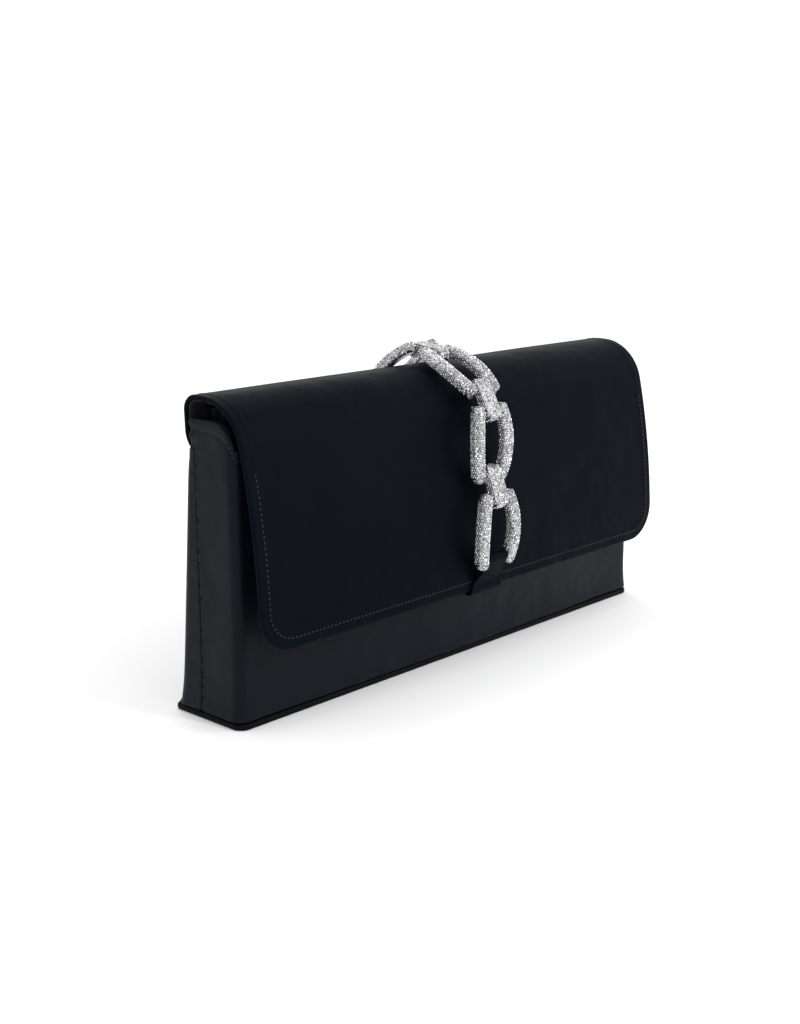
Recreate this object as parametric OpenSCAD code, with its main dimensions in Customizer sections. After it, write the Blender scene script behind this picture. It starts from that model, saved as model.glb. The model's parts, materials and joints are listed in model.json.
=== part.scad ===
// Satin evening bag: a slim flap clutch on a stiff base, with a crystal link handle that runs
// from the front edge of the flap, over its crown, to the seam at the back.
// Millimetres. Origin at the middle of the base's underside, +X along the width,
// +Y towards the back, +Z up. The flap is closed.

/* [Body] */
// Width of the base
bag_w = 260; // [200:2:320]
// Depth of the base, front to back
base_d = 40; // [36:1:44]
// Radius of the base's front corners
base_r = 5; // [4:0.5:9]
// Radius of the base's back corners
base_back_r = 3; // [2:0.5:4]
// Thickness of the satin-covered base tray
base_t = 2.6; // [2:0.2:3.4]
// Distance of the front face from the middle
front_y = 18.5; // [17:0.5:19]
// Distance of the back face from the middle, at the floor
back_y = 17.3; // [16.5:0.1:18.5]
// Forward lean of the back face, in degrees
back_lean = 4.5; // [4:0.1:4.8]
// Radius of the soft upright corners at the front
front_r = 4; // [4:0.5:8]
// Radius of the upright corners at the back
back_r = 4; // [3:0.5:5]
// Height of the side walls
side_h = 118.8; // [118:0.2:119.4]
// Height of the back panel
back_h = 107.3; // [106.5:0.1:107.4]
// Height of the front panel's top edge
front_h = 108.8; // [105:0.2:109]
// Height that the front panel swells by, at the magnet
swell = 5.5; // [5.3:0.1:5.6]

/* [Plies] */
// Satin with its backing, on the body
wrap_t = 1; // [0.8:0.1:1]
// Card inside the front and back walls
card_t = 1.5; // [1.2:0.1:1.6]
// Lining cloth
lining_t = 0.7; // [0.5:0.1:0.8]
// Satin on the flap
flap_satin_t = 0.9; // [0.7:0.1:1]
// Card and wadding inside the flap
flap_core_t = 1.2; // [1:0.1:1.3]

/* [Flap] */
// Width of the flap
flap_w = 257; // [200:1:258]
// Outer radius of the crown's front shoulder
shoulder_r = 22.5; // [22:0.1:23]
// Height of the crown
crown_h = 127.5; // [127:0.1:128.5]
// Height of the flap's lower edge
flap_bottom = 33; // [28:0.5:38]
// Radius of the flap's lower corners
flap_corner = 16; // [8:1:24]

/* [Magnet] */
// Height of the magnet's middle
snap_z = 52; // [50:0.5:54]
// Radius of the magnet's two halves
snap_r = 9; // [8:0.5:10]

/* [Handle] */
// Distance between a link's two pins
link_pitch = 24.6; // [24.2:0.1:24.8]
// Distance between a connector's two pins
joiner_pitch = 12.9; // [12.6:0.1:13]
// Width of a link's bar
bar_w = 5.7; // [5:0.1:5.8]
// Depth of a link's bar
bar_d = 4.8; // [4:0.1:5]
// Distance of a bar's end from the middle line
bar_x = 7.4; // [7.4:0.1:7.8]
// Sideways bow of a bar
bow_x = 2.15; // [1.5:0.05:2.5]
// Outward bow of a bar
bow_z = 1.5; // [1:0.05:1.8]
// Width of a connector
joiner_w = 8.6; // [7.5:0.1:8.6]
// Radius of the hinge pins
pin_r = 1.2; // [1:0.05:1.3]

/* [Hidden] */
$fn = 64;
fine = 96;
gap = 0.05;              // between plies that lie on each other
run_fit = 0.08;          // radial play of a connector or the front loop on its pin
slack_fit = 0.6;         // radial play of the rear loop, the chain's free end
far = 200;
wall_x = bag_w / 2 - 1;  // side walls stand just inside the base
welt_h = 1;
floor_z = base_t + welt_h;
seam_y = 3;              // side seam, where the front wrap meets the back panel
flap_t = flap_satin_t + flap_core_t + lining_t;

// Insets of the plies from the body's outer face
tail_in = wrap_t;
tail_t = 0.8;
back_card_in = tail_in + tail_t + gap;
lining_in = back_card_in + card_t + 0.1;
pocket_in = lining_in + lining_t + gap;
pocket_t = 0.7;

// Swell of the front: a cap of a large ball
swell_foot = 46;
swell_z = snap_z - 8;
swell_r = (swell_foot * swell_foot + swell * swell) / (2 * swell);

// Mouth line of the side walls
mouth_r = side_h - front_h;
mouth_y = -front_y + wrap_t + mouth_r;

// Side view of the flap's outer face: foot of the back wall, back corner, crown, shoulder, drop
heel = [9.1, 107.9];
corner_r = 6;
corner_c = [3.6, crown_h - corner_r];
shoulder_c = [-1.4, crown_h - shoulder_r];
shoulder_end = 12.8;     // slope where the shoulder runs into the drop, from upright
drop_r = 358;
drop_c = shoulder_c + (drop_r - shoulder_r) * [cos(shoulder_end), -sin(shoulder_end)];
bottom_slope = asin((flap_bottom - drop_c[1]) / drop_r);
function arc(c, r, from, to, n) = [for (i = [0:n]) c + r * dir(from + (to - from) * i / n)];
function dir(a) = [cos(a), sin(a)];
function wall_face(t) = [heel - [t, 0], corner_c + [corner_r - t, 0]];
function flap_face(t, part) =
    part == "back" ? concat(wall_face(t), arc(corner_c, corner_r - t, 6, 90, 10),
                            arc(shoulder_c, shoulder_r - t, 90, 180 - shoulder_end, 14)) :
    part == "drop" ? arc(drop_c, drop_r - t, 180 - shoulder_end, 180 - bottom_slope, 14) :
    concat(flap_face(t, "back"), flap_face(t, "drop"));
function reversed(v) = [for (i = [len(v) - 1:-1:0]) v[i]];
function drop_y(z) = drop_c[0] - sqrt(drop_r * drop_r - pow(z - drop_c[1], 2));

// Frame of the magnet: its origin on the flap's lining, +Z outwards
snap_tilt = asin((snap_z - drop_c[1]) / drop_r);
snap_y = drop_y(snap_z) + flap_t + 4 * gap;
stud_t = 1.4;
stud_pin_r = 2.8;
stud_pin_h = 1.5;
socket_hole_r = 4;
socket_face = stud_t + 0.3;
socket_h = 2.95;
prong_x = 5;

// Handle: directions of its seven pieces from the front pin, in degrees from +Y
pitches = [link_pitch, joiner_pitch, link_pitch, joiner_pitch, link_pitch, joiner_pitch, link_pitch];
bends = [91, 71, 89, 61, 28, 6, -41];
front_pin = [-38, 47.4];
function pin_at(i) = i == 0 ? front_pin : pin_at(i - 1) + pitches[i - 1] * dir(bends[i - 1]);
lobe_y = link_pitch / 2 + 1.2;                 // end of a bar's centre line
bow = norm([bow_x, bow_z]);
bow_tilt = atan2(bow_z, bow_x);
bow_r = (lobe_y * lobe_y + bow * bow) / (2 * bow);
bow_half = asin(lobe_y / bow_r);
bar_over = 5;                                  // turn of the arc past each lobe, cut off round
bar_end_r = 3.3;
flare = 3;                                     // how far the end links open towards their tabs
flare_x = lobe_y * sin(flare);
barrel_r = 3;
loop_r = 2.7;
tab_t = 2;
tab_w = 11.4;
tab_foot_w = 20.5;

// ---- Shared shapes ----

module soft_rect(w, d, r) {
    square([w - 2 * r, d], center = true);
    square([w, d - 2 * r], center = true);
    for (sx = [-1, 1], sy = [-1, 1])
        translate([sx * (w / 2 - r), sy * (d / 2 - r)]) circle(r, $fn = fine);
}

// Draws a side view (Y across, Z up) and runs it along X
module along_x(length) rotate([90, 0, 90]) linear_extrude(length, center = true) children();

module area(from, to) translate(from) square(to - from);

// The body's form, drawn in by inset, from height z up; open-ended above
module form(inset, z) {
    long = 2 * far;
    intersection() {
        translate([0, -front_y + inset + long / 2, z])
            linear_extrude(far) soft_rect(2 * (wall_x - inset), long, max(front_r - inset, 0.6));
        translate([0, back_y - inset, 0]) rotate([back_lean, 0, 0]) translate([0, -long / 2, -20])
            linear_extrude(far + 40) soft_rect(2 * (wall_x - inset), long, max(back_r - inset, 0.6));
    }
}

// Gentle swell of the front panel, towards the magnet
module swell_cap(inset) intersection() {
    translate([0, -front_y - swell + swell_r, swell_z]) sphere(swell_r - inset, $fn = 360);
    translate([-swell_foot - 1, -front_y - swell, swell_z - swell_foot + 4])
        cube([2 * swell_foot + 2, swell + inset + 0.5, 2 * swell_foot + 4]);
}

module ply(inset, thickness, z) difference() {
    form(inset, z);
    form(inset + thickness, z - 1);
}

// Side view of what lies under the mouth line, lowered by drop
module under_mouth(drop) translate([0, -drop]) {
    area([-far, -20], [far, front_h]);
    translate([mouth_y, front_h]) intersection() {
        circle(mouth_r, $fn = fine);
        area([-mouth_r, 0], [0, mouth_r]);
    }
    area([mouth_y, -20], [far, side_h]);
}

// ---- Base ----

// Plan of the base, drawn in at its ends, along its long sides and at its corners
module base_plan(ends, sides, corners) {
    half = bag_w / 2 - ends;
    deep = base_d / 2 - sides;
    front = max(base_r - corners, 0.6);
    back = max(base_back_r - corners, 0.6);
    area([-half, -deep + front], [half, deep - back]);
    area([-half + front, -deep], [half - front, 0]);
    area([-half + back, 0], [half - back, deep]);
    for (side = [-1, 1]) {
        translate([side * (half - front), -deep + front]) circle(front, $fn = fine);
        translate([side * (half - back), deep - back]) circle(back, $fn = fine);
    }
}

module base_cover() color("black") difference() {
    linear_extrude(base_t) base_plan(0, 0, 0);
    translate([0, 0, 0.6]) linear_extrude(base_t) base_plan(1.2, 1.2, 1.2);
}

module base_board() color("tan") translate([0, 0, 0.6 + gap])
    linear_extrude(base_t - 0.6 - gap) base_plan(1.3, 1.3, 1.3);

module base_welt() color("black") translate([0, 0, base_t + gap])
    linear_extrude(welt_h - 2 * gap) difference() {
        base_plan(1.2, 2.2, 1.5);
        base_plan(6, 7, 5);
    }

// ---- Walls ----

module front_wrap() color("black") difference() {
    intersection() {
        difference() {
            union() {
                form(0, floor_z);
                swell_cap(0);
            }
            form(wrap_t, floor_z - 1);
            swell_cap(wrap_t);
        }
        along_x(far * 2) intersection() {
            under_mouth(0);
            union() {
                area([-far, floor_z], [seam_y, far]);
                area([-far, back_h + 0.3], [5.4, far]);
            }
        }
    }
    snap_frame() snap_prongs(0.1);
}

module back_panel() color("black") intersection() {
    ply(0, wrap_t, floor_z);
    along_x(far * 2) area([seam_y + gap, floor_z], [far, back_h]);
}

module front_board() color("tan")
    translate([-118, -front_y + wrap_t + gap, floor_z + 1.5]) cube([236, card_t, front_h - floor_z - 3.5]);

module back_board() color("tan") intersection() {
    ply(back_card_in, card_t, floor_z + 1.5);
    translate([-122, seam_y + 3, 0]) cube([244, far, back_h - 1.5]);
}

module front_wadding() color("white") difference() {
    intersection() {
        swell_cap(wrap_t + gap);
        translate([-far, -front_y - swell, floor_z + gap]) cube([2 * far, swell + wrap_t, far]);
    }
    snap_frame() {
        snap_prongs(0.1);
        translate([0, 0, -12]) cylinder(h = 12 - socket_face - socket_h, r = 7.6);
    }
}

module side_stiffener(side) color("white")
    translate([side * (wall_x - wrap_t - gap - 0.4), 0, 0])
        along_x(0.8) area([-8, floor_z + 1.5], [seam_y - 1, front_h - 1]);

module left_stiffener() side_stiffener(-1);
module right_stiffener() side_stiffener(1);

module flap_tail() color("black") intersection() {
    ply(tail_in + gap, tail_t - gap, floor_z);
    translate([-121, seam_y + 3, back_h - 17]) cube([242, far, 17]);
}

// ---- Inside ----

module lining() color("dimgray") intersection() {
    difference() {
        form(lining_in, floor_z + gap);
        form(lining_in + lining_t, floor_z + gap + lining_t);
    }
    along_x(far * 2) intersection() {
        under_mouth(1.1);
        union() {
            area([-far, 0], [seam_y, far]);
            area([-far, 0], [far, back_h - 0.6]);
        }
    }
}

module mouth_facing() color("black") intersection() {
    union() {
        ply(pocket_in, 0.6, front_h - 20);
        ply(wrap_t + gap, pocket_in - wrap_t + 0.4, front_h - 20);
    }
    along_x(far * 2) intersection() {
        area([-far, 0], [seam_y, far]);
        difference() {
            under_mouth(0);
            under_mouth(1);
        }
    }
}

module slip_pocket() color("dimgray") intersection() {
    ply(pocket_in, pocket_t, 30);
    translate([-62, 0, 34]) cube([124, far, 58]);
}

// Gathered lining at one end of the mouth
module fold_block(side) color("black") translate([side * 120.2, -4, 110.5])
    rotate([90, 0, 90]) linear_extrude(6, center = true) soft_rect(15, 20, 4);

module left_fold() fold_block(-1);
module right_fold() fold_block(1);

// ---- Magnet ----

module snap_frame() translate([0, snap_y, snap_z]) rotate([90 - snap_tilt, 0, 0]) children();

// Prongs of the socket, bent over the washer behind the satin
module snap_prongs(grow) for (side = [-1, 1])
    translate([side * prong_x - 0.25 - grow, -2 - grow, -socket_face - socket_h - 2.1])
        cube([0.5 + 2 * grow, 4 + 2 * grow, 2.1]);

module magnet_socket() color("silver") snap_frame() {
    difference() {
        translate([0, 0, -socket_face - socket_h]) cylinder(h = socket_h, r = snap_r);
        translate([0, 0, -socket_face - socket_h + 0.5]) cylinder(h = socket_h, r = socket_hole_r);
        translate([0, 0, -socket_face - socket_h + 0.5]) cylinder(h = socket_h - 1, r = snap_r - 0.8);
    }
    snap_prongs(0);
}

module magnet_disc() color("gray") snap_frame() difference() {
    translate([0, 0, -socket_face - socket_h + 0.5 + gap])
        cylinder(h = socket_h - 1 - 2 * gap, r = snap_r - 0.8 - gap);
    translate([0, 0, -socket_face - socket_h]) cylinder(h = socket_h, r = socket_hole_r + gap);
}

module socket_washer() color("silver") snap_frame() difference() {
    translate([0, 0, -socket_face - socket_h - 2.1]) cylinder(h = 0.5, r = 7);
    snap_prongs(0.1);
}

module stud_prongs(grow) for (side = [-1, 1])
    translate([side * prong_x - 0.25 - grow, -2 - grow, 0])
        cube([0.5 + 2 * grow, 4 + 2 * grow, 1.6]);

module magnet_stud() color("silver") snap_frame() {
    translate([0, 0, -stud_t]) cylinder(h = stud_t, r = snap_r);
    translate([0, 0, -stud_t - stud_pin_h]) cylinder(h = stud_pin_h + 0.1, r = stud_pin_r);
    stud_prongs(0);
}

module stud_washer() color("silver") snap_frame() difference() {
    translate([0, 0, 0.9]) cylinder(h = 0.5, r = 7);
    stud_prongs(0.1);
}

// ---- Flap ----

// Front view of the flap, drawn in by inset all round
module flap_outline(inset) {
    r = flap_corner - inset;
    half = flap_w / 2 - inset;
    low = flap_bottom + inset;
    translate([-half, low + r]) square([2 * half, far]);
    translate([-half + r, low]) square([2 * (half - r), far]);
    for (side = [-1, 1]) translate([side * (half - r), low + r]) circle(r, $fn = fine);
}

// A ply of the flap: from depth near to depth far_t under its outer face
module flap_ply(near, deep, part, inset) intersection() {
    along_x(far * 2) polygon(concat(flap_face(near, part), reversed(flap_face(deep, part))));
    translate([0, 30, 0]) rotate([90, 0, 0]) linear_extrude(far) flap_outline(inset);
}

module flap_outer() color("black") difference() {
    flap_ply(0, flap_satin_t + flap_core_t, "all", 0);
    flap_ply(flap_satin_t, flap_t + 1, "all", 1.5);
}

module flap_board() color("tan") difference() {
    flap_ply(flap_satin_t + gap, flap_satin_t + flap_core_t - gap, "drop", 1.6);
    snap_frame() {
        translate([0, 0, 0.5]) cylinder(h = 1, r = 7.6);
        stud_prongs(0.1);
    }
}

module flap_wadding() color("white") intersection() {
    flap_ply(flap_satin_t + gap, flap_satin_t + flap_core_t - gap, "back", 1.6);
    along_x(far * 2) area([-far, shoulder_c[1] + shoulder_r * sin(shoulder_end) + 0.5], [far, far]);
}

module flap_lining() color("dimgray") difference() {
    flap_ply(flap_satin_t + flap_core_t + gap, flap_t, "all", 1);
    snap_frame() stud_prongs(0.1);
}

// ---- Tabs ----

// Strap from foot to the pin at tip, in side view
module strap(foot, tip) {
    a = atan2(tip[1] - foot[1], tip[0] - foot[0]);
    translate(foot) rotate(a) area([0, -tab_t / 2], [norm(tip - foot), tab_t / 2]);
    translate(tip) circle(loop_r, $fn = fine);
}

// Front view of a tab: full width at its foot, narrower at its loop
module tab_outline(z_foot, z_loop, foot_w) polygon([
    [-foot_w / 2, z_foot - 6], [foot_w / 2, z_foot - 6], [foot_w / 2, z_foot],
    [tab_w / 2, z_loop], [tab_w / 2, z_loop + 20], [-tab_w / 2, z_loop + 20],
    [-tab_w / 2, z_loop], [-foot_w / 2, z_foot]]);

module front_tab() color("black") {
    edge_y = drop_y(flap_bottom);
    z0 = flap_bottom - 0.3;
    difference() {
        intersection() {
            along_x(40) {
                strap([edge_y - 0.7, z0 + 5], front_pin);
                area([edge_y - 1.25, z0 - 1.1], [edge_y - gap - 0.1, z0 + 6]);
                area([edge_y - 1.25, z0 - 1.1], [edge_y + flap_t + 1.3, z0]);
                area([edge_y + flap_t + 0.35, z0 - 1.1], [edge_y + flap_t + 1.3, z0 + 7]);
            }
            rotate([90, 0, 0]) linear_extrude(far, center = true)
                tab_outline(z0 + 1, front_pin[1] - 4.2, tab_foot_w);
            along_x(40) difference() {
                area([-far, 0], [far, far]);
                area([edge_y - 0.1, z0], [edge_y + flap_t + 0.3, z0 + 20]);
            }
        }
        along_x(40) translate(front_pin) circle(pin_r + run_fit, $fn = fine);
    }
}

module rear_tab() color("black") {
    tip = pin_at(7);
    foot = [heel[0] + 0.9, heel[1] + 1.8];
    difference() {
        intersection() {
            along_x(40) {
                strap(foot, tip);
                area([heel[0] + 0.35, heel[1] + 0.3], [heel[0] + 1.3, heel[1] + 4.5]);
            }
            linear_extrude(far) polygon([
                [-9, foot[0] - 3], [9, foot[0] - 3], [9, foot[0] + 1], [tab_w / 2, tip[0] - 5],
                [tab_w / 2, tip[0] + 9], [-tab_w / 2, tip[0] + 9], [-tab_w / 2, tip[0] - 5],
                [-9, foot[0] + 1]]);
        }
        along_x(40) translate(tip) circle(pin_r + slack_fit, $fn = fine);
        along_x(40) polygon(concat([heel - [5, 5]], wall_face(-0.3), [corner_c]));
    }
}

// ---- Handle ----

// Stands a piece on the chain: i counts pieces from the front; local +Y runs along the chain
// towards the back and local +Z points away from the bag
module on_chain(i) {
    middle = (pin_at(i) + pin_at(i + 1)) / 2;
    translate([0, middle[0], middle[1]]) rotate([bends[i], 0, 0]) children();
}

// Section of a bar: domed front, flatter back
module bar_section() {
    front = 2.2;
    back = 1.2;
    for (side = [-1, 1]) {
        translate([side * (bar_w / 2 - front), bar_d / 2 - front]) circle(front, $fn = fine);
        translate([side * (bar_w / 2 - back), -bar_d / 2 + back]) circle(back, $fn = fine);
    }
    area([-bar_w / 2, -bar_d / 2 + back], [bar_w / 2, bar_d / 2 - front]);
    area([-bar_w / 2 + front, -bar_d / 2 + back], [bar_w / 2 - front, bar_d / 2]);
    area([-bar_w / 2 + back, -bar_d / 2], [bar_w / 2 - back, -bar_d / 2 + back + 0.5]);
}

// A length of bar bowed sideways and outwards, longer than a link at both ends
module bowed_bar() rotate([0, -bow_tilt, 0]) translate([-bow_r * cos(bow_half), 0, 0])
    rotate([0, 0, -bow_half - bar_over]) rotate_extrude(angle = 2 * (bow_half + bar_over), $fn = 240)
        translate([bow_r, 0]) rotate(-bow_tilt) bar_section();

// Front view of a bar: it ends in two round lobes
module bar_plan() {
    area([-far, -lobe_y], [far, lobe_y]);
    for (end = [-1, 1])
        translate([0, end * (lobe_y + bar_w / 2 - bar_end_r)]) circle(bar_end_r, $fn = fine);
}

// One bar of a link. open is +1 or -1 on the end links, whose tab end stands wider, else 0.
module bar(side, open) difference() {
    mirror([side < 0 ? 1 : 0, 0, 0])
        translate([bar_x + abs(open) * flare_x, 0, 0]) rotate([0, 0, flare * open]) intersection() {
            bowed_bar();
            linear_extrude(30, center = true) bar_plan();
        }
    for (end = [-1, 1]) translate([0, end * link_pitch / 2, 0]) {
        rotate([0, 90, 0]) cylinder(h = 2 * pin_half(open * end), r = pin_r, center = true);
        cube([2 * inner_face(open * end), 9, 12], center = true);
    }
}

// Where a bar's flat inner face lies: just clear of the connector, or of the tab on a wide end
function inner_face(wide) = (wide < 0 ? tab_w : joiner_w) / 2 + 3 * gap;

// Half the length of a pin: it ends inside the bars
function pin_half(wide) = bar_x + (wide < 0 ? 2 * flare_x : 0) + 0.9;

module link_bar(i, side) color("gainsboro") on_chain(i) bar(side, i == 0 ? 1 : i == 6 ? -1 : 0);

module link_pin(i, end) color("silver") on_chain(i) translate([0, end * link_pitch / 2, 0])
    rotate([0, 90, 0])
        cylinder(h = 2 * pin_half((i == 0 ? 1 : i == 6 ? -1 : 0) * end), r = pin_r, center = true);

module connector(i) color("gainsboro") on_chain(i) difference() {
    intersection() {
        along_x(joiner_w) {
            for (end = [-1, 1]) translate([end * joiner_pitch / 2, 0]) circle(barrel_r, $fn = fine);
            area([-joiner_pitch / 2, -2.2], [joiner_pitch / 2, barrel_r]);
        }
        linear_extrude(20, center = true) soft_rect(joiner_w, joiner_pitch + 2 * barrel_r, 3.6);
    }
    for (end = [-1, 1]) translate([0, end * joiner_pitch / 2, 0]) rotate([0, 90, 0])
        cylinder(h = 20, r = pin_r + run_fit, center = true);
}

base_cover();
base_board();
base_welt();
front_wrap();
back_panel();
front_board();
back_board();
front_wadding();
left_stiffener();
right_stiffener();
lining();
mouth_facing();
slip_pocket();
left_fold();
right_fold();
flap_tail();
magnet_socket();
magnet_disc();
socket_washer();
flap_outer();
flap_board();
flap_wadding();
flap_lining();
magnet_stud();
stud_washer();
front_tab();
rear_tab();
link_bar(0, -1);  // link_4_left
link_bar(0, 1);  // link_4_right
link_pin(0, -1);  // link_4_lower_pin
link_pin(0, 1);  // link_4_upper_pin
connector(1);  // connector_3
link_bar(2, -1);  // link_3_left
link_bar(2, 1);  // link_3_right
link_pin(2, -1);  // link_3_lower_pin
link_pin(2, 1);  // link_3_upper_pin
connector(3);  // connector_2
link_bar(4, -1);  // link_2_left
link_bar(4, 1);  // link_2_right
link_pin(4, -1);  // link_2_lower_pin
link_pin(4, 1);  // link_2_upper_pin
connector(5);  // connector_1
link_bar(6, -1);  // link_1_left
link_bar(6, 1);  // link_1_right
link_pin(6, 1);  // link_1_lower_pin
link_pin(6, -1);  // link_1_upper_pin
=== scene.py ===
# %% [markdown]
# # A satin evening bag with a crystal handle
# The CAD frame holds the bag's pieces, its joints and its real size. This script dresses them:
# black satin over card, a lined pouch, and a handle of castings set with stones. Everything is in
# metres, in the frame's own axes: +X along the width, +Y to the back, +Z up.

# %% Load the frame
import json
import math
import bmesh
import bpy
import numpy as np
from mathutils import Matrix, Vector, noise
from mathutils.bvhtree import BVHTree


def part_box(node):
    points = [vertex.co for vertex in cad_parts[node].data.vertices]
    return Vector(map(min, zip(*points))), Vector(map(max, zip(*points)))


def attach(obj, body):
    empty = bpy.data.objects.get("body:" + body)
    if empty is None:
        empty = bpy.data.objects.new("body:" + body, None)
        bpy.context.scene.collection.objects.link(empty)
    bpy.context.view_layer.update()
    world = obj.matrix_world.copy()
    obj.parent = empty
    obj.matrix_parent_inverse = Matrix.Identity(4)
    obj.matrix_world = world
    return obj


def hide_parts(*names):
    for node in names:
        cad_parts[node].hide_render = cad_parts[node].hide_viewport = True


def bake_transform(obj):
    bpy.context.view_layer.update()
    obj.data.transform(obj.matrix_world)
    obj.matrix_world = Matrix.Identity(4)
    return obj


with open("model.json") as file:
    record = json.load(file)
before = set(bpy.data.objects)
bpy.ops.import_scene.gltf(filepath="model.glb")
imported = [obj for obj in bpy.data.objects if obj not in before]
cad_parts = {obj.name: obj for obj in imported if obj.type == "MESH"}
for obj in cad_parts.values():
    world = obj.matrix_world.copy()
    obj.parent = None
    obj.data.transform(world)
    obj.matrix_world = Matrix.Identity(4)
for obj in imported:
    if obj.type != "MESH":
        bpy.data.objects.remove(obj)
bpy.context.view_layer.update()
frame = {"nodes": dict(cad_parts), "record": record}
mm = 0.001

# %% [markdown]
# ## Camera
# It stands off the bag's front left corner, a little above the crown, looking slightly down, so
# that the front, the left end and the crown all show.

# %% Camera
camera = bpy.data.objects.new("camera", bpy.data.cameras.new("camera"))
bpy.context.collection.objects.link(camera)
camera.location = (-0.4705, -0.4176, 0.2098)
camera.rotation_euler = (math.radians(90 - 13.31), 0, math.radians(-47.22))
camera.data.lens = 51.16
camera.data.clip_start = 0.01
bpy.context.scene.camera = camera

# %% [markdown]
# ## Shader maths as Python
# A material reads better as an expression than as a list of links. Wire wraps one output socket
# and turns + - * into Math nodes; Paint holds a material and adds any other node by its type.

# %% Wire and Paint
class Wire:
    def __init__(self, paint, socket):
        self.paint, self.socket = paint, socket

    def __add__(self, other): return self.paint.maths("ADD", self, other)
    def __sub__(self, other): return self.paint.maths("SUBTRACT", self, other)
    def __rsub__(self, other): return self.paint.maths("SUBTRACT", other, self)
    def __mul__(self, other): return self.paint.maths("MULTIPLY", self, other)
    __radd__ = __add__
    __rmul__ = __mul__


class Paint:
    def __init__(self, name, **fixed):
        self.material = bpy.data.materials.new(name)
        self.material.use_nodes = True
        self.tree = self.material.node_tree
        self.surface = self.tree.nodes["Principled BSDF"]
        for key, value in fixed.items():
            self.surface.inputs[key.replace("_", " ")].default_value = value

    def plug(self, value, socket):
        if isinstance(value, Wire):
            self.tree.links.new(value.socket, socket)
        elif value is not None:
            socket.default_value = value

    def node(self, kind, settings=(), inputs=(), out=0):
        made = self.tree.nodes.new(kind)
        for key, value in dict(settings).items():
            if key == "stops":
                ramp = made.color_ramp.elements
                for place, (at, tone) in enumerate(value):
                    stop = ramp[place] if place < len(ramp) else ramp.new(at)
                    stop.position, stop.color = at, tone
            else:
                setattr(made, key, value)
        for key, value in dict(inputs).items():
            self.plug(value, made.inputs[key])
        return Wire(self, made.outputs[out])

    def maths(self, operation, a, b):
        return self.node("ShaderNodeMath", {"operation": operation}, {0: a, 1: b})

    def place(self):
        return self.node("ShaderNodeTexCoord", out="Object")

    def cloudy(self, scale, detail=2.0, rough=0.5, at=None):
        return self.node("ShaderNodeTexNoise", {"noise_dimensions": "3D"},
                         {"Vector": at or self.place(), "Scale": scale, "Detail": detail,
                          "Roughness": rough})

    def tint(self, factor, dark, light):
        return self.node("ShaderNodeMix", {"data_type": "RGBA"},
                         {0: factor, 6: dark, 7: light}, out=2)

    def bump(self, height, depth, under=None):
        return self.node("ShaderNodeBump", {}, {"Height": height, "Distance": depth,
                                                "Strength": 1.0, "Normal": under})

    def finish(self, **varying):
        for key, value in varying.items():
            self.plug(value, self.surface.inputs[key.replace("_", " ")])
        return self.material


# %% [markdown]
# ## Satin
# Satin's long floating threads make a soft, broad gleam that runs across them. The cloth is
# nearly black with a little blue in it. The weave is a bump of fine ribs, and a slow noise lets
# the surface undulate as cloth glued over card does.

# %% Satin
def make_satin(name, tone, roughness, gleam):
    satin = Paint(name, Specular_IOR_Level=gleam)
    place = satin.place()
    across = satin.node("ShaderNodeSeparateXYZ", {}, {0: place}, out=0)
    upward = satin.node("ShaderNodeSeparateXYZ", {}, {0: place}, out=2)
    ribs = satin.node("ShaderNodeMath", {"operation": "SINE"}, {0: (upward + across * 0.35) * 15000.0})
    slubs = satin.cloudy(900, 3, 0.6)
    slow = satin.cloudy(38, 2, 0.5)
    swell = satin.bump(slow, 0.0016)
    weave = satin.bump(ribs * 0.5 + slubs, 0.00003, swell)
    colour = satin.tint(satin.cloudy(14, 2), tone, [c * 1.35 for c in tone[:3]] + [1])
    return satin.finish(Base_Color=colour, Roughness=roughness - 0.05 + slubs * 0.1, Normal=weave)


black_satin = make_satin("black_satin", (0.0022, 0.0028, 0.0062, 1), 0.42, 0.09)
# The flap and its tabs are the same black satin as the walls, painted a little darker as painted shade,
# because the flap faces up, away from the bright floor that lights the lower front; it also gets a weaker
# gleam.
shaded_flap_satin = make_satin("shaded_flap_satin", (0.0018, 0.0024, 0.0050, 1), 0.42, 0.02)
dark_piping = make_satin("dark_piping", (0.0016, 0.0018, 0.0028, 1), 0.55, 0.06)
print("satins:", black_satin.name, dark_piping.name)

# %% [markdown]
# ## Lining, thread and what the walls hide
# The lining is a matt twill. The thread is twisted, so it gets a fine slanting bump. Card and
# fleece stay out of sight but are finished too.

# %% Cloths and boards
def make_cloth(name, tone, light, scale, depth, roughness):
    cloth = Paint(name, Specular_IOR_Level=0.2)
    fibres = cloth.cloudy(scale, 4, 0.65)
    return cloth.finish(Base_Color=cloth.tint(fibres, tone, light), Roughness=roughness,
                        Normal=cloth.bump(fibres, depth))


lining_cloth = make_cloth("lining_cloth", (0.010, 0.010, 0.013, 1), (0.022, 0.022, 0.027, 1),
                          1800, 0.00008, 0.7)
thread_black = make_cloth("thread_black", (0.008, 0.009, 0.013, 1), (0.018, 0.020, 0.027, 1),
                          2600, 0.00005, 0.42)
bag_card = make_cloth("bag_card", (0.35, 0.27, 0.18, 1), (0.50, 0.41, 0.29, 1), 700, 0.0001, 0.9)
fleece = make_cloth("fleece", (0.55, 0.55, 0.53, 1), (0.80, 0.80, 0.78, 1), 500, 0.0004, 0.95)

# %% [markdown]
# ## Metal
# The castings, pins and the magnetic snap are plated and polished, so what changes over them is
# mostly roughness: faint rubbing marks and a duller skin in patches.

# %% Plated metals
def make_plate(name, tone, smooth, worn):
    metal = Paint(name, Metallic=1.0)
    marks = metal.cloudy(650, 5, 0.7)
    patch = metal.cloudy(60, 2)
    return metal.finish(Base_Color=metal.tint(patch, tone, [c * 0.9 for c in tone[:3]] + [1]),
                        Roughness=smooth + marks * worn * patch,
                        Normal=metal.bump(marks, 0.000004))


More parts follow.
